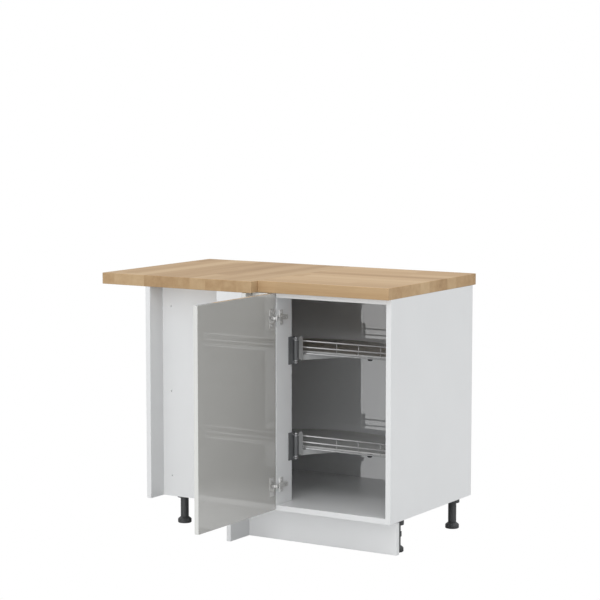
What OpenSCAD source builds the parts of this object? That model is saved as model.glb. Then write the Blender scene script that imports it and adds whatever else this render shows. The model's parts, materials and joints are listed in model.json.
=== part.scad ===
// Corner base cabinet with an open door, a two-piece worktop and two swing-out half-moon trays.
// Millimetres. The floor is Z = 0 and +Y points to the wall behind the cabinet.
// Inside the modules X = 0 is the outer face of the right side and Y = 0 the front of the carcass.
// in_frame() then moves everything, so that the origin is on the floor, under the middle of the
// whole object with its door open.

/* [Carcass] */
// Width over both sides
carcass_w = 912; // [880:1:1000]
// Height of the boards
carcass_h = 720; // [700:1:760]
// Depth of the boards, without the back
carcass_d = 560; // [540:1:600]
// Thickness of the carcass boards
board_t = 18; // [16:1:19]
// Thickness of the rails under the worktop
rail_t = 16; // [15:1:19]
// Thickness of the back
back_t = 3; // [3:0.5:8]
// Depth of the flat rails that carry the worktop
rail_depth = 100; // [98:1:140]
// Width of the opening, from the right side to the hinge post
opening_w = 410; // [380:1:440]
// Depth of the hinge post
post_depth = 94; // [80:1:98]

/* [Corner] */
// Reach of the left side in front of the carcass
side_reach = 58; // [40:1:80]
// Set-back of the blind panel behind the carcass front
blind_setback = 15; // [10:1:30]
// Width of the front strip between door and filler
infill_w = 59; // [40:1:70]
// Width of the white strip that the next unit is fixed to
flange_w = 99; // [60:1:120]
// Height of the highest fixing hole above the lowest one, halved
fixing_pitch = 290; // [200:1:320]
// Distance of the fixing holes from the left side
fixing_inset = 35; // [20:1:60]
// Radius of the fixing holes
fixing_r = 2.5; // [2:0.1:4]

/* [Door and fronts] */
// Thickness of the door and of the front strips
front_t = 15; // [15:0.5:19]
// Gap between the worktop and the door and front strips
front_gap_top = 1; // [1:0.5:5]
// Height of the door and front strips above the underside of the boards
front_gap_low = 3.5; // [0:0.5:10]
// Gap between the door and the outer face of the right side
door_reveal = 1.5; // [1:0.5:4]
// Gap between the front strip and the closed door
swing_gap = 6; // [5:0.5:10]

/* [Door hinges] */
// Height of each hinge above or below the middle of the boards
hinge_pitch = 277.5; // [200:0.5:300]
// Distance of the arm pin from the face of the post
arm_pin_x = 8; // [7:0.5:10]
// Distance of the arm pin in front of the carcass
arm_pin_y = 10.5; // [10:0.5:11.5]
// Distance between the two pins of a link across the front
link_x = 17; // [16:0.5:18]
// How far the link slants forward with the door open
link_y = 3; // [2.5:0.25:3.5]
// Distance of the cup pin from the edge of the door
cup_pin_in = 8; // [7.5:0.25:8.5]
// Depth of the cup pin in the door
cup_pin_deep = 8; // [7.5:0.25:8.5]
// Radius of the drilled cup
cup_r = 17.5; // [17:0.5:18]
// Depth of the drilled cup
cup_deep = 13; // [12.5:0.1:13.2]
// Radius of the hinge pins
hinge_pin_r = 1.5; // [1.2:0.1:1.8]

/* [Trays] */
// Height of the middle of the upper bracket above the floor
upper_z = 633; // [600:1:660]
// Height of the middle of the lower bracket above the floor
lower_z = 313; // [290:1:340]
// Distance of the pivot from the face of the post
pivot_x = 11.5; // [11:0.5:16]
// Distance of the pivot behind the post
pivot_y = 8; // [8:0.5:16]
// Gap between the tray and the right side
tray_gap = 13; // [8:1:25]
// Distance of the straight front of the tray behind the pivot
tray_front = 58; // [50:0.5:66]
// Thickness of the tray floor
tray_floor_t = 6; // [4:0.5:8]
// Radius of the rail wires
wire_r = 2.4; // [1.5:0.1:2.8]
// Radius of the short upright wires
tie_r = 1.1; // [1:0.1:1.8]
// Distance between the levels of the rail
wire_pitch = 20.9; // [18:0.5:24]
// Distance between the upright wires along the front
tie_pitch = 83.4; // [70:0.5:100]
// Radius of the pivot pin
pivot_r = 3.5; // [3:0.5:4]

/* [Worktop] */
// Length of the whole worktop
worktop_len = 1094; // [1000:1:1200]
// Width of the right piece, whose grain runs from left to right
worktop_right_w = 490; // [460:1:505]
// Overhang behind the boards, which covers the back and a gap to the wall
rear_overhang = 26; // [5:1:40]
// Thickness of the worktop
worktop_t = 38; // [28:1:40]
// Overhang of the right piece in front of the carcass
overhang = 18; // [18:1:40]
// Overhang of the left piece in front of the carcass
left_overhang = 56; // [45:1:70]

/* [Legs and plinth] */
// Height of the legs
leg_h = 112; // [105:1:150]
// Distance of the left legs from the outer face of the left side
leg_in_left = 34; // [26:1:60]
// Distance of the front right leg from the outer face of the right side
leg_in_right = 41; // [35:1:60]
// Distance of the rear right leg from the outer face of the right side
leg_in_right_rear = 50; // [35:1:60]
// Distance of the front legs from the front
leg_in_front = 115; // [108:1:130]
// Distance of the rear legs from the back of the boards
leg_in_rear = 38; // [30:1:60]
// Radius of the leg tube
leg_r = 14; // [13:0.5:16]
// Radius of the socket at the top of a leg
socket_r = 24.5; // [22:0.5:28]
// Radius of the foot
foot_r = 23.5; // [20:0.5:28]
// Height of the foot
foot_h = 20; // [18:0.5:26]
// Set-back of the plinth behind the front of the carcass
plinth_setback = 60; // [45:1:65]
// Distance of the plinth's right end from the outer face of the right side
plinth_in = 9; // [0:1:20]
// Thickness of the plinth
plinth_t = 16; // [15:0.5:19]
// Gap between the plinth and the carcass
plinth_gap = 6; // [2:1:12]
// Length of the short plinth, from its front end to the long plinth's face
return_len = 112; // [80:1:120]
// Set-back of the short plinth behind the corner filler
return_setback = 65; // [50:1:80]

/* [Hidden] */
$fn = 64;
eps = 0.01;
seat = 0.3;            // gap where two curved or hanging pieces seat on each other

white = [0.90, 0.91, 0.92];
front_grey = [0.62, 0.61, 0.59];
oak = [0.80, 0.68, 0.53];
black = [0.16, 0.16, 0.17];
nickel = [0.75, 0.75, 0.76];
dark_steel = [0.30, 0.31, 0.32];
light_steel = [0.66, 0.67, 0.68];
chrome = [0.84, 0.85, 0.86];
tray_grey = [0.36, 0.37, 0.37];

// Heights
carcass_z = leg_h;
carcass_top = carcass_z + carcass_h;
floor_z = carcass_z + board_t;
rail_z = carcass_top - rail_t;
front_h = carcass_h - front_gap_top - front_gap_low;
front_z = carcass_z + front_gap_low;
hole_mid = carcass_z + carcass_h/2;
hinge_zs = [hole_mid + hinge_pitch, hole_mid - hinge_pitch];
hole_zs = [hole_mid - fixing_pitch, hole_mid, hole_mid + fixing_pitch];

// Places across the front
inner_right = -board_t;
inner_left = -carcass_w + board_t;
post_face = inner_right - opening_w;
post_back = post_face - board_t;
blind_back = blind_setback + board_t;
seam_x = -worktop_right_w;
worktop_back = carcass_d + rear_overhang;
hole_x = inner_left + fixing_inset;

// Concealed hinge: arm pin on the carcass, cup pin on the door, one link between them.
// The link turns back by a tenth of the angle that the door turns on the link.
arm_pin = [post_face + arm_pin_x, -arm_pin_y];
cup_pin = arm_pin + [-link_x, -link_y];
link_back = 10;
cup_pin_shut = arm_pin + [-link_x*cos(link_back) - link_y*sin(link_back),
                          link_x*sin(link_back) - link_y*cos(link_back)];
door_edge_shut = cup_pin_shut[0] - cup_pin_in;
door_w = -door_reveal - door_edge_shut;
door_face = cup_pin[0] + cup_pin_deep;      // inner face of the open door
door_edge = cup_pin[1] + cup_pin_in;        // hinge-side edge of the open door
cup_mid = 20.5;                             // cup centre from the edge of the door
front_back = cup_pin_shut[1] + cup_pin_deep;  // back of the closed front, in Y

// Corner strips
infill_right = door_edge_shut - swing_gap;
filler_face = infill_right - infill_w;
filler_back = filler_face - front_t;

// Trays
pivot = [post_face + pivot_x, post_depth + pivot_y];
rail_r = opening_w - pivot_x - tray_gap - wire_r;
wire_z = [-17, -17 + wire_pitch, -17 + 2*wire_pitch];
front_angle = asin(tray_front/rail_r);
corner_x = rail_r*cos(front_angle);
floor_under = wire_z[0] + wire_r + seat;
post_wire_r = wire_r + 0.5;
floor_front = tray_front + post_wire_r + seat;
bracket_half = 46;      // half the height of a bracket
bracket_front = 22;     // reach of a bracket's plate onto the post
ear_in = 36;            // inner face of a bracket ear above the bracket's middle
ear_t = 4;
ear_r = 7.5;
bracket_t = 3;
sleeve_r = 6;
collar_t = 3;           // collar of the pin under each ear
sleeve_half = ear_in - collar_t - seat;
plate_x = [-1, 1.5];    // thickness of the carrier plate, across the front
plate_y = [15, 41];     // the plate runs back from the pivot
plate_low = -32;

// Legs
leg_back = carcass_d - leg_in_rear;
leg_places = [[-carcass_w + leg_in_left, leg_in_front], [-leg_in_right, leg_in_front],
              [-carcass_w + leg_in_left, leg_back], [-leg_in_right_rear, leg_back]];
stem_r = 5;
stem_fit = 0.06;
socket_t = 3;
socket_h = 23;
plinth_h = leg_h - plinth_gap;
plinth_end = filler_face - return_setback;

// Box of the whole object with the door open
origin_shift = [worktop_len/2, -(worktop_back + door_edge - door_w)/2, 0];

module in_frame() translate(origin_shift) children();

// A board or block given by its lowest and highest corners
module block(low, high) translate(low) cube(high - low);

// ---------------------------------------------------------------- carcass

module right_side() color(white) in_frame()
  block([inner_right, 0, carcass_z], [0, carcass_d, carcass_top]);

module left_side() color(white) in_frame()
  block([-carcass_w, -side_reach, carcass_z], [inner_left, carcass_d, carcass_top]);

// Outline of a board that runs behind the blind panel and comes to the front in the opening
module stepped_plan(back) polygon([
  [inner_left, blind_back], [post_back, blind_back], [post_back, 0],
  [inner_right, 0], [inner_right, back], [inner_left, back]]);

module bottom_panel() color(white) in_frame()
  translate([0, 0, carcass_z]) linear_extrude(board_t) stepped_plan(carcass_d);

module front_rail() color(white) in_frame()
  translate([0, 0, rail_z]) linear_extrude(rail_t) stepped_plan(rail_depth);

module rear_rail() color(white) in_frame()
  block([inner_left, carcass_d - rail_depth, rail_z], [inner_right, carcass_d, carcass_top]);

module back_panel() color(white) in_frame()
  block([-carcass_w, carcass_d, carcass_z], [0, carcass_d + back_t, carcass_top]);

module hinge_post() color(white) in_frame()
  block([post_back, 0, floor_z], [post_face, post_depth, rail_z]);

module blind_panel() color(white) in_frame()
  difference() {
    block([inner_left, blind_setback, carcass_z], [post_back, blind_back, carcass_top]);
    for (z = hole_zs)
      translate([hole_x, blind_setback - 1, z]) rotate([-90, 0, 0])
        cylinder(r = fixing_r, h = board_t + 2);
  }

// ---------------------------------------------------------------- corner strips

module corner_filler() color(front_grey) in_frame()
  block([filler_back, -side_reach, front_z],
        [filler_face, blind_setback, front_z + front_h]);

module corner_infill() color(front_grey) in_frame()
  block([filler_face, front_back - front_t, front_z],
        [infill_right, front_back, front_z + front_h]);

batten_in = 20;             // the batten ends this far inside the strip it carries
batten_w = infill_w*0.6;

module corner_batten() color(white) in_frame()
  block([filler_face, front_back, front_z + batten_in],
        [filler_face + batten_w, blind_setback, front_z + front_h - batten_in]);

module corner_flange() color(white) in_frame()
  block([filler_back - flange_w, -side_reach, carcass_z],
        [filler_back, -side_reach + front_t, carcass_top]);

// ---------------------------------------------------------------- worktop

bolt_ys = [worktop_back*0.15, worktop_back*0.48, worktop_back*0.81];
bolt_half = 75;
bolt_r = 4;
pocket = [22, 28, 22];      // routed pocket at each end of a draw bolt
slot_w = 12;
bolt_up = 13;               // height of a bolt above the underside
washer = [3, 24, 18];
nut_r = 7;
nut_t = 6;

bolt_grip = bolt_half - nut_t - washer[0] + 1;   // from the seam to the pocket's near wall

// Pocket and slot for one draw bolt, on the side of the seam that dir points to
module bolt_pocket(dir, y) {
  near = seam_x + dir*bolt_grip;
  x = dir > 0 ? near : near - pocket[0];
  block([x, y - pocket[1]/2, carcass_top - 1],
        [x + pocket[0], y + pocket[1]/2, carcass_top + pocket[2]]);
  block([min(seam_x - dir, near + dir), y - slot_w/2, carcass_top - 1],
        [max(seam_x - dir, near + dir), y + slot_w/2, carcass_top + pocket[2]]);
}

module worktop_left() color(oak) in_frame()
  difference() {
    block([-worktop_len, -left_overhang, carcass_top],
          [seam_x, worktop_back, carcass_top + worktop_t]);
    for (y = bolt_ys) bolt_pocket(-1, y);
  }

module worktop_right() color(oak) in_frame()
  difference() {
    block([seam_x, -overhang, carcass_top], [0, worktop_back, carcass_top + worktop_t]);
    for (y = bolt_ys) bolt_pocket(1, y);
  }

module worktop_bolts() color(nickel) in_frame()
  for (y = bolt_ys) translate([seam_x, y, carcass_top + bolt_up]) {
    rotate([0, 90, 0]) translate([0, 0, -bolt_half]) cylinder(r = bolt_r, h = 2*bolt_half);
    for (side = [0, 1]) mirror([side, 0, 0]) {
      translate([bolt_grip, -washer[1]/2, -washer[2]/2]) cube(washer);
      translate([bolt_grip + washer[0], 0, 0]) rotate([0, 90, 0])
        cylinder(r = nut_r, h = nut_t, $fn = 6);
    }
  }

// ---------------------------------------------------------------- plinth

module plinth_front() color(white) in_frame()
  block([plinth_end, plinth_setback, 0], [-plinth_in, plinth_setback + plinth_t, plinth_h]);

module plinth_return() color(white) in_frame()
  block([plinth_end - plinth_t, plinth_setback - return_len, 0],
        [plinth_end, plinth_setback + plinth_t, plinth_h]);

clip_z = 50;
clip_h = 16;
clip_wall = 3;
clip_gap = 0.1;
clip_web = 10;
clip_foot = [44, 4, 28];

// Spring clip that holds the plinth: a ring round the front right leg, open at the back
module plinth_clip() color(black) in_frame() {
  back = plinth_setback + plinth_t;
  bore = leg_r + clip_gap;
  mouth = leg_r*1.5;
  leg = leg_places[1];
  translate([leg[0], leg[1], clip_z]) difference() {
    union() {
      cylinder(r = bore + clip_wall, h = clip_h);
      translate([-clip_web/2, back - leg[1], 0]) cube([clip_web, leg[1] - back - bore - 1, clip_h]);
      translate([-clip_foot[0]/2, back - leg[1], (clip_h - clip_foot[2])/2]) cube(clip_foot);
    }
    translate([0, 0, -1]) cylinder(r = bore, h = clip_h + 2);
    translate([-mouth/2, leg_r*0.5, -1]) cube([mouth, leg_r + clip_wall, clip_h + 2]);
  }
}

// ---------------------------------------------------------------- legs

module leg_sockets() color(black) in_frame()
  for (p = leg_places) translate([p[0], p[1], carcass_z - socket_h]) difference() {
    cylinder(r = socket_r, h = socket_h);
    translate([0, 0, -1]) cylinder(r = leg_r + 0.05, h = socket_h - socket_t + 1);
  }

tube_top = carcass_z - socket_t;
tube_wall = 3;
tube_end = 10;

module leg_tubes() color(black) in_frame()
  for (p = leg_places) translate([p[0], p[1], 0]) rotate_extrude() polygon([
    [stem_r + stem_fit, foot_h], [leg_r - 1, foot_h], [leg_r, foot_h + 1],
    [leg_r, tube_top], [leg_r - tube_wall, tube_top],
    [leg_r - tube_wall, foot_h + tube_end], [stem_r + stem_fit, foot_h + tube_end]]);

stem_h = 60;                // reach of the threaded stem above the foot
notch_r = 2.4;              // grip notches for turning the foot
notch_z = 4;

module foot(i) color(black) in_frame()
  translate([leg_places[i][0], leg_places[i][1], 0]) {
    difference() {
      rotate_extrude() polygon([
        [0, 0], [foot_r - 1.5, 0], [foot_r, 1.5], [foot_r, foot_h*0.62],
        [foot_r - 3, foot_h*0.78], [leg_r + 1, foot_h], [0, foot_h]]);
      for (a = [0:30:330]) rotate(a) translate([foot_r + notch_r/2, 0, notch_z])
        cylinder(r = notch_r, h = foot_h, $fn = 24);
    }
    translate([0, 0, foot_h - 1]) cylinder(r = stem_r, h = stem_h + 1);
  }

module foot_front_left() foot(0);
module foot_front_right() foot(1);
module foot_rear_left() foot(2);
module foot_rear_right() foot(3);

// ---------------------------------------------------------------- door and hinges

// Turns a piece drawn on the inner face of the door: X from the hinge edge, Y up, Z out of the face
module on_door(z) translate([door_face, door_edge, z])
  rotate([0, 90, 0]) rotate([0, 0, -90]) children();

module door_panel() color(front_grey) in_frame()
  difference() {
    block([door_face - front_t, door_edge - door_w, front_z],
          [door_face, door_edge, front_z + front_h]);
    for (z = hinge_zs) on_door(z)
      translate([cup_mid, 0, -cup_deep]) cylinder(r = cup_r, h = cup_deep + 1);
  }

cup_wall = 1;
cup_gap = 0.02;
wing_in = 12;               // nearest edge of the cup's wings to the hinge edge
wing_w = 22;
wing_h = 62;
wing_t = 1.2;
lug_in = 4.6;
lug_out = 6.6;
ear_from = 4.5;             // inner face of an ear above the middle of the hinge
ear_thick = 2;
eye_r = 3;
screw_pitch = 24;           // cup screws above and below the cup's middle
screw_hole_r = 2.2;
screw_r = 2;

module hinge_cup() {
  r = cup_r - cup_gap;
  difference() {
    union() {
      translate([cup_mid, 0, -cup_deep + cup_gap]) cylinder(r = r, h = cup_deep - cup_gap + eps);
      translate([wing_in, -wing_h/2, 0]) cube([wing_w, wing_h, wing_t]);
    }
    translate([cup_mid, 0, -cup_deep + cup_wall]) difference() {
      cylinder(r = r - cup_wall, h = cup_deep + 2);
      // lugs that hold the cup pin
      for (s = [-1, 1]) translate([-cup_r, s > 0 ? lug_in : -lug_out, -1])
        cube([cup_pin_in + eye_r - cup_mid + cup_r, lug_out - lug_in, cup_deep - cup_pin_deep + eye_r]);
    }
    for (s = [-1, 1]) translate([cup_mid + 2, s*screw_pitch, -1]) cylinder(r = screw_hole_r, h = 4);
  }
  translate([cup_pin_in, 0, -cup_pin_deep]) rotate([90, 0, 0])
    cylinder(r = hinge_pin_r, h = 2*lug_out - 1, center = true);
}

module hinge_cups() color(nickel) in_frame()
  for (z = hinge_zs) on_door(z) hinge_cup();

module cup_screws() color(nickel) in_frame()
  for (z = hinge_zs, s = [-1, 1]) on_door(z) translate([cup_mid + 2, s*screw_pitch, 0]) {
    translate([0, 0, wing_t]) cylinder(r1 = 3.6, r2 = 2.6, h = 1);
    translate([0, 0, -9]) cylinder(r = screw_r, h = 9 + wing_t + eps);
  }

link_half = 4.3;
link_bar = 1.5;
link_bow = 1.2;

// Flat link, bowed towards the front so that it clears the rim of the cup
module hinge_link(z) translate([0, 0, z - link_half]) linear_extrude(2*link_half)
  difference() {
    union() {
      translate(arm_pin) circle(r = eye_r);
      translate(cup_pin) circle(r = eye_r);
      polygon([arm_pin + [0, link_bar - 0.5], arm_pin + [-link_x*0.3, link_bar - link_bow],
               cup_pin + [link_x*0.3, link_bar - link_bow], cup_pin + [0, link_bar - 0.5],
               cup_pin + [0, -link_bar - 0.5], cup_pin + [link_x*0.3, -link_bar - link_bow],
               arm_pin + [-link_x*0.3, -link_bar - link_bow], arm_pin + [0, -link_bar - 0.5]]);
    }
    translate(arm_pin) circle(r = hinge_pin_r + 0.05);
    translate(cup_pin) circle(r = hinge_pin_r + 0.05);
  }

module hinge_links() color(nickel) in_frame()
  for (z = hinge_zs) hinge_link(z);

plate_t = 3;
plate_front = 12;
plate_back = 52;
plate_half = 6;
wing_z = 24;
wing_half = 9;
wing_y = 27;                // set-back of the plate screws behind the front
screw_z = 16;
arm_t = 10;
arm_half = 7;
arm_front = 2;

module hinge_plate(z) difference() {
  union() {
    block([post_face, plate_front, z - plate_half], [post_face + plate_t, plate_back, z + plate_half]);
    block([post_face, wing_y - wing_half, z - wing_z],
          [post_face + plate_t, wing_y + wing_half, z + wing_z]);
  }
  for (s = [-1, 1]) translate([post_face - 1, wing_y, z + s*screw_z]) rotate([0, 90, 0])
    cylinder(r = screw_hole_r, h = plate_t + 2);
}

module hinge_plates() color(nickel) in_frame()
  for (z = hinge_zs) hinge_plate(z);

module hinge_screws() color(nickel) in_frame()
  for (z = hinge_zs, s = [-1, 1]) translate([post_face + plate_t, wing_y, z + s*screw_z])
    rotate([0, 90, 0]) {
      cylinder(r1 = 3.8, r2 = 2.6, h = 1.5);
      translate([0, 0, -plate_t - 10]) cylinder(r = screw_r, h = plate_t + 10 + eps);
    }

arm_back = plate_t;         // back of the arm above the post
arm_screw_ys = [plate_front + 6, plate_back - 12];
arm_wall = 1.5;

// Arm: a hollow channel on the plate, with two ears that hold the arm pin
module hinge_arm(z) {
  x0 = post_face + arm_back;
  x1 = x0 + arm_t;
  difference() {
    block([x0, -arm_front, z - arm_half], [x1, plate_back, z + arm_half]);
    block([x0 - 1, -arm_front - 1, z - arm_half + arm_wall],
          [x1 - arm_wall, plate_back - 3, z + arm_half - arm_wall]);
    for (y = arm_screw_ys) translate([x0, y, z]) rotate([0, 90, 0]) cylinder(r = 3, h = arm_t + 1);
  }
  for (s = [-1, 1]) translate([0, 0, s > 0 ? z + ear_from : z - ear_from - ear_thick])
    linear_extrude(ear_thick) {
      translate(arm_pin) circle(r = eye_r + 0.2);
      translate([arm_pin[0] - eye_r, arm_pin[1]]) square([2*eye_r, arm_pin_y + 2]);
    }
  translate([arm_pin[0], arm_pin[1], z])
    cylinder(r = hinge_pin_r, h = 2*(ear_from + ear_thick) - 1, center = true);
}

module hinge_arms() color(nickel) in_frame()
  for (z = hinge_zs) hinge_arm(z);

// Adjusting screws that stand on the plate and show in the holes of the arm
module arm_screws() color(nickel) in_frame()
  for (z = hinge_zs, y = arm_screw_ys) translate([post_face + arm_back, y, z])
    rotate([0, 90, 0]) difference() {
      cylinder(r = 2.6, h = arm_t - 0.6);
      translate([-2.2, -0.4, arm_t - 1.4]) cube([4.4, 0.8, 1]);
      translate([-0.4, -2.2, arm_t - 1.4]) cube([0.8, 4.4, 1]);
    }

// ---------------------------------------------------------------- tray brackets

bracket_screw_y = post_depth - bracket_front/2;
bracket_screw_z = [-34, 0, 34];
sink_h = 1.7;           // height of a countersunk head

module bracket(z) color(dark_steel) in_frame() difference() {
  union() {
    block([post_face, post_depth - bracket_front, z - bracket_half],
          [post_face + bracket_t, pivot[1] + ear_r, z + bracket_half]);
    for (s = [-1, 1]) translate([0, 0, s > 0 ? z + ear_in : z - ear_in - ear_t]) {
      block([post_face + bracket_t - eps, pivot[1] - ear_r, 0], [pivot[0], pivot[1] + ear_r, ear_t]);
      translate(pivot) cylinder(r = ear_r, h = ear_t);
    }
  }
  translate([pivot[0], pivot[1], z - bracket_half]) cylinder(r = pivot_r + 0.02, h = 2*bracket_half);
  for (dz = bracket_screw_z)
    translate([post_face - 1, bracket_screw_y, z + dz]) rotate([0, 90, 0]) {
      cylinder(r = screw_hole_r, h = bracket_t + 2);
      translate([0, 0, bracket_t + 1 - sink_h]) cylinder(r1 = 2.05, r2 = 2.35 + sink_h, h = sink_h + 0.3);
    }
}

dome_r = 6;
dome_h = 6;

// Pin with a domed nut at each end and a collar under each ear
module pivot_pin(z) color(chrome) in_frame() translate([pivot[0], pivot[1], z])
  rotate_extrude() polygon(concat(
    [[0, -ear_in - ear_t - dome_h]],
    [for (a = [-80:20:0]) [dome_r*cos(a), -ear_in - ear_t + dome_h*sin(a)]],
    [[pivot_r, -ear_in - ear_t], [pivot_r, -ear_in], [sleeve_r, -ear_in]],
    [[sleeve_r, -ear_in + collar_t], [pivot_r, -ear_in + collar_t]],
    [[pivot_r, ear_in - collar_t], [sleeve_r, ear_in - collar_t]],
    [[sleeve_r, ear_in], [pivot_r, ear_in], [pivot_r, ear_in + ear_t]],
    [for (a = [0:20:80]) [dome_r*cos(a), ear_in + ear_t + dome_h*sin(a)]],
    [[0, ear_in + ear_t + dome_h]]));

module bracket_screws(z) color(dark_steel) in_frame()
  for (dz = bracket_screw_z)
    translate([post_face, bracket_screw_y, z + dz]) rotate([0, 90, 0]) {
      translate([0, 0, bracket_t - sink_h]) cylinder(r1 = screw_r, r2 = screw_r + sink_h, h = sink_h);
      translate([0, 0, -12]) cylinder(r = screw_r, h = 12 + bracket_t - sink_h + 0.1);
    }

module upper_bracket() bracket(upper_z);
module lower_bracket() bracket(lower_z);
module upper_pivot_pin() pivot_pin(upper_z);
module lower_pivot_pin() pivot_pin(lower_z);
module upper_bracket_screws() bracket_screws(upper_z);
module lower_bracket_screws() bracket_screws(lower_z);

// ---------------------------------------------------------------- trays
// Drawn round the pivot: X along the straight front, Y towards the back, Z from the bracket's middle

module at_pivot(z) in_frame() translate([pivot[0], pivot[1], z]) children();

module tray_floor(z) color(tray_grey) at_pivot(z) translate([0, 0, floor_under])
  linear_extrude(tray_floor_t) intersection() {
    circle(r = rail_r, $fn = 128);
    translate([-rail_r, floor_front]) square([2*rail_r, rail_r]);
  }

tie_first = 122;                // first upright of the front, beside the pivot
right_start = -17;              // the front wires leave a gap for the sleeve
left_start = -54;

// Upright wire through all levels; extra is its reach above and below the outer wires' middles
module upright(x, r, extra) translate([x, tray_front, wire_z[0] - extra])
  cylinder(r = r, h = wire_z[2] - wire_z[0] + 2*extra);

// Welded rail: three levels of wire along the straight front, tied by upright wires.
// The lowest wire goes on round the half-moon and carries the floor.
module tray_rail(z) color(chrome) at_pivot(z) {
  for (w = wire_z) translate([0, tray_front, w]) rotate([0, 90, 0]) {
    translate([0, 0, right_start]) cylinder(r = wire_r, h = corner_x - right_start, $fn = 32);
    translate([0, 0, -corner_x]) cylinder(r = wire_r, h = corner_x + left_start, $fn = 32);
  }
  translate([0, 0, wire_z[0]]) rotate([0, 0, front_angle])
    rotate_extrude(angle = 180 - 2*front_angle, $fn = 128)
      translate([rail_r, 0]) circle(r = wire_r, $fn = 32);
  for (x = [-corner_x, corner_x, left_start, right_start]) upright(x, post_wire_r, post_wire_r);
  for (x = [tie_first : tie_pitch : corner_x - tie_pitch/2], s = [-1, 1]) upright(s*x, tie_r, 0);
}

// Sleeve that turns on the pin, with a flat tongue for the carrier plate
module tray_sleeve(z) color(dark_steel) at_pivot(z) difference() {
  union() {
    translate([0, 0, -sleeve_half]) cylinder(r = sleeve_r, h = 2*sleeve_half);
    block([plate_x[0] - 1, 0, -sleeve_half + 2], [plate_x[1] + 1, plate_y[0], sleeve_half - 2]);
  }
  translate([0, 0, -sleeve_half - 1]) cylinder(r = pivot_r + 0.05, h = 2*sleeve_half + 2);
}

arm_angle = 34;             // the arm slants to the right of straight back
arm_len = 240;
arm_w = 24;
arm_root = 30;              // the arm has its full width from here on
arm_z = [-37, floor_under];
arm_way = [sin(arm_angle), cos(arm_angle)];
arm_side = [-cos(arm_angle), sin(arm_angle)];
arm_start = [plate_x[1], plate_y[1]];
arm_end = arm_start + arm_len*arm_way;
arm_edge = 6.5;             // distance of the screws from the arm's right face
tray_screw_places = [for (t = [0.28, 0.5, 0.72, 0.94])
  arm_start + t*arm_len*arm_way + arm_edge*arm_side];

// Carrier: round-topped plate behind the sleeve and a tapered arm under the floor
module tray_carrier(z) color(light_steel) at_pivot(z) {
  round_r = (plate_y[1] - plate_y[0])/2;
  round_z = sleeve_half - 1;
  difference() {
    union() {
      block([plate_x[0], plate_y[0], plate_low], [plate_x[1], plate_y[1], round_z]);
      translate([plate_x[0], plate_y[0] + round_r, round_z]) rotate([0, 90, 0])
        cylinder(r = round_r, h = plate_x[1] - plate_x[0]);
    }
    translate([plate_x[0] - 1, plate_y[0] + round_r - 5, round_z + 5]) rotate([0, 90, 0])
      cylinder(r = 2.5, h = 5);
  }
  difference() {
    translate([0, 0, arm_z[0]]) linear_extrude(arm_z[1] - arm_z[0]) polygon([
      [plate_x[0], plate_y[0] + round_r], [plate_x[1], plate_y[0] + round_r],
      arm_start, arm_end, arm_end + arm_w*arm_side,
      arm_start + arm_root*arm_way + arm_w*arm_side]);
    // step under the front wires
    block([left_start, 0, wire_z[0] - wire_r - seat], [arm_len, floor_front + 4, floor_under + 1]);
    for (p = tray_screw_places) translate([p[0], p[1], arm_z[0] - 1])
      cylinder(r = screw_hole_r, h = arm_z[1] - arm_z[0] + 2);
  }
}

module tray_screws(z) color(nickel) at_pivot(z)
  for (p = tray_screw_places) translate([p[0], p[1], arm_z[0]]) {
    translate([0, 0, -1.6]) cylinder(r1 = 2.6, r2 = 3.8, h = 1.6);
    translate([0, 0, -eps]) cylinder(r = screw_r, h = arm_z[1] - arm_z[0] + tray_floor_t*0.7);
  }

stop_place = [rail_r*0.633, tray_front + 12];
stop_r = 8.5;

// Round rubber stop under the front edge of the floor
module tray_stop(z) color(black) at_pivot(z)
  translate([stop_place[0], stop_place[1], wire_z[0] - 9]) rotate_extrude() polygon([
    [0, 0], [stop_r - 2.5, 0], [stop_r, 2.5], [stop_r, floor_under - wire_z[0] + 9],
    [0, floor_under - wire_z[0] + 9]]);

module upper_tray_floor() tray_floor(upper_z);
module upper_tray_rail() tray_rail(upper_z);
module upper_tray_sleeve() tray_sleeve(upper_z);
module upper_tray_carrier() tray_carrier(upper_z);
module upper_tray_screws() tray_screws(upper_z);
module upper_tray_stop() tray_stop(upper_z);
module lower_tray_floor() tray_floor(lower_z);
module lower_tray_rail() tray_rail(lower_z);
module lower_tray_sleeve() tray_sleeve(lower_z);
module lower_tray_carrier() tray_carrier(lower_z);
module lower_tray_screws() tray_screws(lower_z);
module lower_tray_stop() tray_stop(lower_z);

right_side();
left_side();
bottom_panel();
front_rail();
rear_rail();
back_panel();
hinge_post();
blind_panel();
corner_filler();
corner_infill();
corner_batten();
corner_flange();
worktop_left();
worktop_right();
worktop_bolts();
plinth_front();
plinth_return();
plinth_clip();
leg_sockets();
leg_tubes();
foot_front_left();
foot_front_right();
foot_rear_left();
foot_rear_right();
door_panel();
hinge_cups();
cup_screws();
hinge_links();
hinge_arms();
arm_screws();
hinge_plates();
hinge_screws();
upper_bracket();
upper_pivot_pin();
upper_bracket_screws();
lower_bracket();
lower_pivot_pin();
lower_bracket_screws();
upper_tray_floor();
upper_tray_rail();
upper_tray_sleeve();
upper_tray_carrier();
upper_tray_screws();
upper_tray_stop();
lower_tray_floor();
lower_tray_rail();
lower_tray_sleeve();
lower_tray_carrier();
lower_tray_screws();
lower_tray_stop();
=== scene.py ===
# %% [markdown]
# # A corner cabinet with two swing-out trays
# The cabinet comes in as a frame of exact solids, one for each piece, already in metres and in place.
# This lesson dresses them: every solid gets a softened copy, real finishes, and light that shows them.

# %% Load the frame
import json
import math

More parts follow.
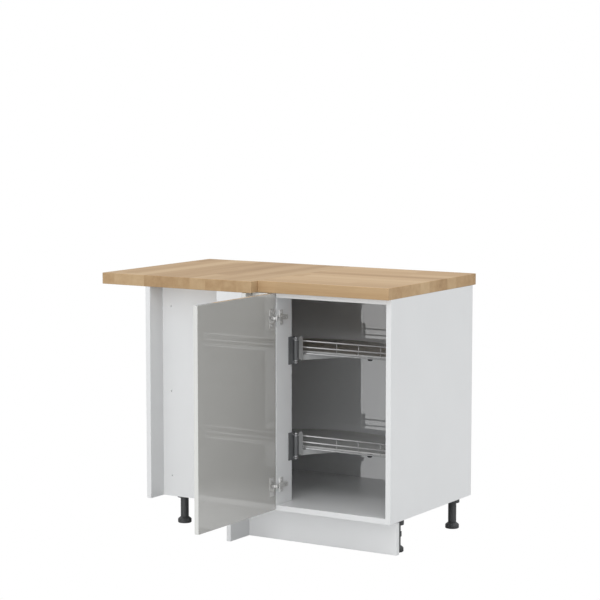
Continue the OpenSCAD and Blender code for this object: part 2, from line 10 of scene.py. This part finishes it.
import bmesh
import bpy
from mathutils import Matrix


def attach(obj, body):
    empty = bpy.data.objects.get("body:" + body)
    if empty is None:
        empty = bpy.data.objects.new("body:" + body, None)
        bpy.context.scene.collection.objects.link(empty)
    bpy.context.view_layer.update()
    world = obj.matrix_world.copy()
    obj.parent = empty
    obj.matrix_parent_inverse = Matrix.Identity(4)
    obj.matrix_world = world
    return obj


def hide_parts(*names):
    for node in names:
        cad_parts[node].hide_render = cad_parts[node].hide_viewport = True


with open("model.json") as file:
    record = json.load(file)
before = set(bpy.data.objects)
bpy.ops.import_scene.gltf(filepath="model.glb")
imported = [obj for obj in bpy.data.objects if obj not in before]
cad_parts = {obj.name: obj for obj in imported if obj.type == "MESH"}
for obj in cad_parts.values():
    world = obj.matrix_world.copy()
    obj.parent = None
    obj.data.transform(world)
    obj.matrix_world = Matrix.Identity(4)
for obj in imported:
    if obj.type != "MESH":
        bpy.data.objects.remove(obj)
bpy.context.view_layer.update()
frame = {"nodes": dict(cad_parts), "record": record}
record = frame["record"]
body_of_node = {n: b for b, ns in record["behaviour"]["bodies"].items() for n in ns}
slot_of_node = {s["node"]: s["material_slot"] for s in record["subparts"]}

# %% [markdown]
# ## Camera
# The camera stands to the right of the cabinet and a little above it, far off, with a long lens.
# The place and the lens come from solving the perspective of the boards, whose sizes are known.
# A long lens keeps the uprights almost parallel, as catalogue pictures have them.

# %% Camera
camera_data = bpy.data.cameras.new("camera")
camera_data.sensor_width = 36.0
camera_data.lens = 121.17
camera = bpy.data.objects.new("camera", camera_data)
camera.location = (3.6326, -5.5794, 1.5048)
camera.rotation_euler = (math.radians(83.917), 0.0, math.radians(31.845))
bpy.context.scene.collection.objects.link(camera)
bpy.context.scene.camera = camera
print("camera", camera.location[:], "lens", camera_data.lens)

# %% [markdown]
# ## Light
# A studio with a white sweep: soft light from above, a large soft box on the right, and one hard light
# that comes level from the front. That key light gives the crisp shadow of the hinge post on the back.
# A world shader is enough for the soft part. It needs no lamps, and glossy faces mirror it evenly.
# The Light Path node lets the backdrop stay white while the light that it gives is set apart.

# %% World
SOFT_SIDES = 0.21                # soft light from everywhere
SOFT_TOP = 1.36                   # more of it from above
SOFT_BOX = 0.62                  # and from a large soft box on the right
BOX_WAY = (0.90, -0.44, 0.0)     # where the soft box stands
BOX_FOCUS = 2.0                  # how quickly it fades away from there
COOL_WHITE = (0.985, 0.995, 1.0, 1.0)

world = bpy.data.worlds.new("studio")
bpy.context.scene.world = world
world.use_nodes = True
wn, wl = world.node_tree.nodes, world.node_tree.links
wn.clear()
coords = wn.new("ShaderNodeTexCoord")
split = wn.new("ShaderNodeSeparateXYZ")
wl.new(coords.outputs["Generated"], split.inputs[0])


def world_math(op, a, b):
    n = wn.new("ShaderNodeMath")
    n.operation = op
    for i, v in enumerate((a, b)):
        if isinstance(v, (int, float)):
            n.inputs[i].default_value = v
        else:
            wl.new(v, n.inputs[i])
    return n.outputs[0]


up = world_math("MAXIMUM", split.outputs["Z"], 0.0)
box = world_math("ADD", world_math("MULTIPLY", split.outputs["X"], BOX_WAY[0]),
                 world_math("MULTIPLY", split.outputs["Y"], BOX_WAY[1]))
box = world_math("POWER", world_math("MAXIMUM", box, 0.0), BOX_FOCUS)
strength = world_math("ADD", world_math("MULTIPLY", up, SOFT_TOP), SOFT_SIDES)
strength = world_math("ADD", strength, world_math("MULTIPLY", box, SOFT_BOX))
soft = wn.new("ShaderNodeBackground")
soft.inputs["Color"].default_value = COOL_WHITE
wl.new(strength, soft.inputs["Strength"])
white = wn.new("ShaderNodeBackground")
white.inputs["Color"].default_value = (1.0, 1.0, 1.0, 1.0)
white.inputs["Strength"].default_value = 1.0
path = wn.new("ShaderNodeLightPath")
mix = wn.new("ShaderNodeMixShader")
wl.new(path.outputs["Is Camera Ray"], mix.inputs[0])
wl.new(soft.outputs[0], mix.inputs[1])
wl.new(white.outputs[0], mix.inputs[2])
world_out = wn.new("ShaderNodeOutputWorld")
wl.new(mix.outputs[0], world_out.inputs[0])
bpy.context.scene.view_settings.view_transform = "Standard"
print("world with", len(wn), "nodes")

# %% Key light
KEY_ENERGY = 0.72
KEY_BLUR = 0.05      # degrees across: the smaller, the crisper the shadows
KEY_TURN = 0.70      # degrees off the straight way to the back

key_data = bpy.data.lights.new("key", "SUN")
key_data.energy = KEY_ENERGY
key_data.angle = math.radians(KEY_BLUR)
key = bpy.data.objects.new("key", key_data)
key.rotation_euler = (math.radians(90.0), 0.0, math.radians(KEY_TURN))
bpy.context.scene.collection.objects.link(key)
print("key light, level from the front")

# %% [markdown]
# ## Finishes
# Each finish is a small node tree on a Principled shader. A plain colour never looks like a board or a
# metal, so a noise changes the tone a little and another one makes the bump. All patterns read Object
# coordinates, which are the real place in metres, so a scale of 1000 gives a grain of a millimetre.

# %% Helpers for finishes


def finish(name, roughness, metallic=0.0, coat=0.0, coat_roughness=0.04):
    """A material with a Principled shader; returns it, its tree and the shader."""
    mat = bpy.data.materials.new(name)
    mat.use_nodes = True
    tree = mat.node_tree
    shader = tree.nodes["Principled BSDF"]
    shader.inputs["Roughness"].default_value = roughness
    shader.inputs["Metallic"].default_value = metallic
    shader.inputs["Coat Weight"].default_value = coat
    shader.inputs["Coat Roughness"].default_value = coat_roughness
    return mat, tree, shader


def node(tree, kind, **values):
    """A node, with its input sockets set by name."""
    n = tree.nodes.new(kind)
    for key_name, v in values.items():
        n.inputs[key_name.replace("_", " ")].default_value = v
    return n


def place(tree, scale=(1, 1, 1), turn=0.0):
    """Object coordinates in metres, stretched by scale and turned about Z."""
    texture = tree.nodes.new("ShaderNodeTexCoord")
    mapping = tree.nodes.new("ShaderNodeMapping")
    mapping.inputs["Scale"].default_value = scale
    mapping.inputs["Rotation"].default_value = (0, 0, turn)
    tree.links.new(texture.outputs["Object"], mapping.inputs["Vector"])
    return mapping.outputs[0]


def noise(tree, where, scale, detail=2.0, rough=0.5):
    n = node(tree, "ShaderNodeTexNoise", Scale=scale, Detail=detail, Roughness=rough)
    tree.links.new(where, n.inputs["Vector"])
    return n.outputs["Fac"]


def ramp(tree, factor, stops):
    """Colours along a factor; stops is a list of (place, (r, g, b))."""
    n = tree.nodes.new("ShaderNodeValToRGB")
    while len(n.color_ramp.elements) < len(stops):
        n.color_ramp.elements.new(0.5)
    for e, (at, rgb) in zip(n.color_ramp.elements, stops):
        e.position = at
        e.color = (*rgb, 1.0)
    tree.links.new(factor, n.inputs["Fac"])
    return n.outputs["Color"]


def bump(tree, shader, height, strength, distance):
    n = node(tree, "ShaderNodeBump", Strength=strength, Distance=distance)
    tree.links.new(height, n.inputs["Height"])
    tree.links.new(n.outputs[0], shader.inputs["Normal"])


def tinted(tree, shader, factor, rgb, spread):
    """A base colour that the factor makes darker or lighter by spread."""
    low = tuple(c * (1 - spread) for c in rgb)
    high = tuple(min(1.0, c * (1 + spread)) for c in rgb)
    tree.links.new(ramp(tree, factor, [(0.25, low), (0.75, high)]), shader.inputs["Base Color"])


print("helpers for finishes are ready")

# %% [markdown]
# ### Boards and fronts
# The boards are chipboard under white melamine, which is faintly pebbled. The door and the strips of
# the corner have a pale, warm lacquer with a high gloss, so a clear coat lies over the colour. Its high
# index of refraction makes the back of the door mirror the wires of the trays. That back is painted a
# darker grey: painted shade for the shade that falls on it. The object-space normal tells it from the
# edges: it faces +X, and Object coordinates turn with the piece, so the painted shade stays on the back
# while the door swings.

# %% White melamine and grey gloss


LACQUER_IOR = 1.8
FACES_X = 0.99       # least X of a normal that counts as facing +X
MIX_A, MIX_B, MIX_RESULT = 6, 7, 2    # colour sockets of a Mix node


def melamine(name, rgb, roughness):
    mat, tree, shader = finish(name, roughness)
    where = place(tree)
    tinted(tree, shader, noise(tree, where, 7.0), rgb, 0.012)
    bump(tree, shader, noise(tree, where, 1400.0, 3.0, 0.6), 0.06, 0.0002)
    return mat


def gloss(name, rgb, shaded_back_rgb):
    mat, tree, shader = finish(name, 0.05, coat=1.0, coat_roughness=0.01)
    shader.inputs["IOR"].default_value = LACQUER_IOR
    shader.inputs["Coat IOR"].default_value = LACQUER_IOR
    where = place(tree)
    tone = noise(tree, where, 4.0)
    facing = tree.nodes.new("ShaderNodeSeparateXYZ")
    texture = tree.nodes.new("ShaderNodeTexCoord")
    tree.links.new(texture.outputs["Normal"], facing.inputs[0])
    # faces that point to +X, the back of the door, get a darker grey as painted shade
    is_shaded_back = tree.nodes.new("ShaderNodeMath")
    is_shaded_back.operation = "GREATER_THAN"
    is_shaded_back.inputs[1].default_value = FACES_X
    tree.links.new(facing.outputs["X"], is_shaded_back.inputs[0])
    both = tree.nodes.new("ShaderNodeMix")
    both.data_type = "RGBA"
    tree.links.new(is_shaded_back.outputs[0], both.inputs["Factor"])
    for socket, c in ((MIX_A, rgb), (MIX_B, shaded_back_rgb)):
        low, high = tuple(v * 0.99 for v in c), tuple(v * 1.01 for v in c)
        tree.links.new(ramp(tree, tone, [(0.25, low), (0.75, high)]), both.inputs[socket])
    tree.links.new(both.outputs[MIX_RESULT], shader.inputs["Base Color"])
    bump(tree, shader, noise(tree, where, 60.0, 1.0), 0.006, 0.0002)
    return mat


materials = {
    "white_board": melamine("white_melamine", (0.76, 0.765, 0.77), 0.38),
    # the second colour is painted shade for the back of the door
    "front_lacquer": gloss("warm_grey_gloss", (0.70, 0.70, 0.675), (0.43, 0.423, 0.402)),
}
print(sorted(materials))

# %% [markdown]
# ### Oak worktop
# The worktop is a laminate with a picture of oak staves: long strips, each its own shade, that run along
# one piece and across the other. An image texture would do it in one node, but it would have to be read
# from a file. Here the strip that a point lies in is found by rounding its place across the grain. White
# noise turns the number of the strip into a shade, and a long stretched noise draws the fibres.

# %% Oak staves
STAVE = 0.062        # width of a strip
STAVE_RUN = 0.85     # length of a strip
OAK_SPECULAR = 0.25  # a laminate with a dull skin
OAK_TONES = [
    (0.15, (0.330, 0.200, 0.098)),
    (0.42, (0.455, 0.295, 0.155)),
    (0.66, (0.530, 0.362, 0.202)),
    (0.95, (0.600, 0.430, 0.252)),
]


def oak(name, turn, tint):
    """Staves along X, turned by an angle about Z; tint makes all of them lighter or darker."""
    mat, tree, shader = finish(name, 0.5)
    shader.inputs["Specular IOR Level"].default_value = OAK_SPECULAR
    links = tree.links
    where = place(tree, turn=turn)
    parts = tree.nodes.new("ShaderNodeSeparateXYZ")
    links.new(where, parts.inputs[0])

    def math_node(op, a, b=None):
        n = tree.nodes.new("ShaderNodeMath")
        n.operation = op
        for i, v in enumerate((a, b)):
            if v is None:
                continue
            if isinstance(v, (int, float)):
                n.inputs[i].default_value = v
            else:
                links.new(v, n.inputs[i])
        return n.outputs[0]

    strip = math_node("FLOOR", math_node("DIVIDE", parts.outputs["Y"], STAVE))
    shift = tree.nodes.new("ShaderNodeTexWhiteNoise")
    shift.noise_dimensions = "1D"
    links.new(strip, shift.inputs["W"])
    along = math_node("ADD", math_node("DIVIDE", parts.outputs["X"], STAVE_RUN), shift.outputs["Value"])
    pair = tree.nodes.new("ShaderNodeCombineXYZ")
    links.new(strip, pair.inputs["X"])
    links.new(math_node("FLOOR", along), pair.inputs["Y"])
    shade = tree.nodes.new("ShaderNodeTexWhiteNoise")
    shade.noise_dimensions = "3D"
    links.new(pair.outputs[0], shade.inputs["Vector"])

    # fibres: a noise that is long along the strip, moved by the strip's own shade
    moved = tree.nodes.new("ShaderNodeVectorMath")
    moved.operation = "ADD"
    links.new(where, moved.inputs[0])
    links.new(shade.outputs["Color"], moved.inputs[1])
    stretched = tree.nodes.new("ShaderNodeMapping")
    stretched.inputs["Scale"].default_value = (1.6, 38.0, 38.0)
    links.new(moved.outputs[0], stretched.inputs["Vector"])
    broad = noise(tree, stretched.outputs[0], 1.0, 5.0, 0.6)
    fine_map = tree.nodes.new("ShaderNodeMapping")
    fine_map.inputs["Scale"].default_value = (12.0, 420.0, 420.0)
    links.new(moved.outputs[0], fine_map.inputs["Vector"])
    fine = noise(tree, fine_map.outputs[0], 1.0, 2.0, 0.5)

    tone = math_node("ADD", math_node("MULTIPLY", shade.outputs["Value"], 0.45),
                     math_node("MULTIPLY", broad, 0.75))
    tone = math_node("ADD", tone, math_node("MULTIPLY", math_node("SUBTRACT", fine, 0.5), 0.22))
    colour = ramp(tree, tone, [(at, tuple(v * tint for v in rgb)) for at, rgb in OAK_TONES])
    links.new(colour, shader.inputs["Base Color"])
    bump(tree, shader, fine, 0.08, 0.0003)
    return mat


oak_along = oak("oak_left_to_right", 0.0, 0.97)
oak_across = oak("oak_front_to_back", math.radians(90), 0.90)
materials["oak"] = oak_along
print("oak in two directions")

# %% [markdown]
# ### Metal, plastic and rubber
# Wires and pins have a satin chrome, the hinges are nickel plated, and the brackets are powder coated.
# Powder coat and moulded plastic differ from gloss by a fine bump that scatters the light. Plated steel
# keeps faint drawing marks, so its roughness changes along the piece.

# %% Metal, plastic and rubber


def plated(name, rgb, roughness, streak):
    mat, tree, shader = finish(name, roughness, metallic=1.0)
    where = place(tree, scale=streak)
    marks = noise(tree, where, 60.0, 3.0, 0.6)
    tinted(tree, shader, marks, rgb, 0.05)
    rough = node(tree, "ShaderNodeMapRange")
    rough.inputs["To Min"].default_value = roughness * 0.75
    rough.inputs["To Max"].default_value = roughness * 1.25
    tree.links.new(marks, rough.inputs["Value"])
    tree.links.new(rough.outputs[0], shader.inputs["Roughness"])
    bump(tree, shader, marks, 0.03, 0.0002)
    return mat


def grained(name, rgb, roughness, scale, strength):
    """Powder coat, moulded plastic or rubber: one colour with a fine, dull skin."""
    mat, tree, shader = finish(name, roughness)
    where = place(tree)
    tinted(tree, shader, noise(tree, where, 25.0), rgb, 0.06)
    bump(tree, shader, noise(tree, where, scale, 3.0, 0.6), strength, 0.0003)
    return mat


materials.update({
    "nickel": plated("nickel_plate", (0.76, 0.755, 0.745), 0.6, (1, 1, 6)),
    "zinc_steel": plated("zinc_plate", (0.60, 0.60, 0.61), 0.38, (6, 1, 1)),
    "chrome": plated("chrome_wire", (0.50, 0.50, 0.505), 0.52, (1, 1, 1)),
    "dark_steel": grained("dark_powder_coat", (0.125, 0.128, 0.132), 0.7, 1800.0, 0.25),
    "light_steel": grained("light_powder_coat", (0.42, 0.425, 0.425), 0.5, 1800.0, 0.2),
    "black_plastic": grained("black_moulding", (0.055, 0.056, 0.058), 0.48, 1500.0, 0.2),
    "rubber": grained("black_rubber", (0.02, 0.02, 0.021), 0.8, 1200.0, 0.3),
    "tray_board": grained("non_slip_film", (0.45, 0.45, 0.445), 0.6, 700.0, 0.3),
})
print(len(materials), "finishes:", sorted(materials))

# %% [markdown]
# ## Pieces
# The solids have knife-sharp edges, and their meshes are loose triangles, which shade as flat facets.
# On real boards each edge is eased by half a millimetre and catches a thin line of light. Modelling each
# board again would risk its size. So a copy of the solid is welded, its flat faces are joined into whole
# polygons, and the sharp edges are bevelled inwards, which keeps the outside size.

# %% Softened copies
EASE = {
    "white_board": 0.0005, "front_lacquer": 0.0012, "oak": 0.0015, "black_plastic": 0.0006,
    "light_steel": 0.0004, "dark_steel": 0.0004, "tray_board": 0.0008, "nickel": 0.00025,
    "zinc_steel": 0.0, "chrome": 0.0, "rubber": 0.0,
}
FLAT_AREA = 0.0008    # faces larger than this, in square metres, are boards and shade flat
WELD = 2e-6           # points nearer than this, in metres, become one
COPLANAR = 0.5        # degrees: faces that meet at less are one face
SHARP = 50            # degrees: edges that are bevelled
CREASE = 32           # degrees: edges that stay crisp in smooth shading


def softened(name, ease):
    """A welded copy of a solid with its sharp edges bevelled by ease, in metres."""
    bm = bmesh.new()
    bm.from_mesh(frame["nodes"][name].data)
    bmesh.ops.remove_doubles(bm, verts=bm.verts, dist=WELD)
    bmesh.ops.dissolve_limit(bm, angle_limit=math.radians(COPLANAR), verts=bm.verts, edges=bm.edges)
    if ease:
        sharp = [e for e in bm.edges
                 if len(e.link_faces) == 2 and e.calc_face_angle(0.0) > math.radians(SHARP)]
        bmesh.ops.bevel(bm, geom=sharp, offset=ease, affect="EDGES", segments=2, profile=0.5,
                        material=-1, clamp_overlap=True)
    mesh = bpy.data.meshes.new(name + "_dressed")
    bm.to_mesh(mesh)
    bm.free()
    mesh.shade_smooth()
    mesh.set_sharp_from_angle(angle=math.radians(CREASE))
    for face in mesh.polygons:
        if face.area > FLAT_AREA:
            face.use_smooth = False
    piece = bpy.data.objects.new(name + "_dressed", mesh)
    bpy.context.scene.collection.objects.link(piece)
    return piece


pieces = {}
for name in frame["nodes"]:
    slot = slot_of_node[name]
    piece = softened(name, EASE[slot])
    piece.data.materials.clear()
    piece.data.materials.append(oak_across if name == "worktop_left" else materials[slot])
    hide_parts(name)
    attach(piece, body_of_node[name])
    pieces[name] = piece
print(len(pieces), "pieces,", sum(len(p.data.polygons) for p in pieces.values()), "faces")

# %% [markdown]
# ## Floor
# A white floor that runs out of the picture, as in a studio. It glows as much as the backdrop to the
# camera, so no horizon shows, and it still sends soft light up under the cabinet.

# %% Floor
FLOOR_HALF = 12.0     # metres to each side
FLOOR_DROP = 0.0005   # just below the feet
FLOOR_WHITE = 0.62    # share of the light that it sends back up

bm = bmesh.new()
bmesh.ops.create_grid(bm, x_segments=1, y_segments=1, size=FLOOR_HALF)
floor_mesh = bpy.data.meshes.new("studio_floor")
bm.to_mesh(floor_mesh)
bm.free()
floor = bpy.data.objects.new("studio_floor", floor_mesh)
floor.location.z = -FLOOR_DROP
bpy.context.scene.collection.objects.link(floor)
floor_mat = bpy.data.materials.new("studio_white")
floor_mat.use_nodes = True
ft = floor_mat.node_tree
ft.nodes.clear()
glow = ft.nodes.new("ShaderNodeEmission")
glow.inputs["Strength"].default_value = 1.0
matt = ft.nodes.new("ShaderNodeBsdfDiffuse")
matt.inputs["Color"].default_value = (FLOOR_WHITE, FLOOR_WHITE, FLOOR_WHITE, 1.0)
ray = ft.nodes.new("ShaderNodeLightPath")
choose = ft.nodes.new("ShaderNodeMixShader")
ft.links.new(ray.outputs["Is Camera Ray"], choose.inputs[0])
ft.links.new(matt.outputs[0], choose.inputs[1])
ft.links.new(glow.outputs[0], choose.inputs[2])
ft.links.new(choose.outputs[0], ft.nodes.new("ShaderNodeOutputMaterial").inputs[0])
floor.data.materials.append(floor_mat)
print("floor laid")
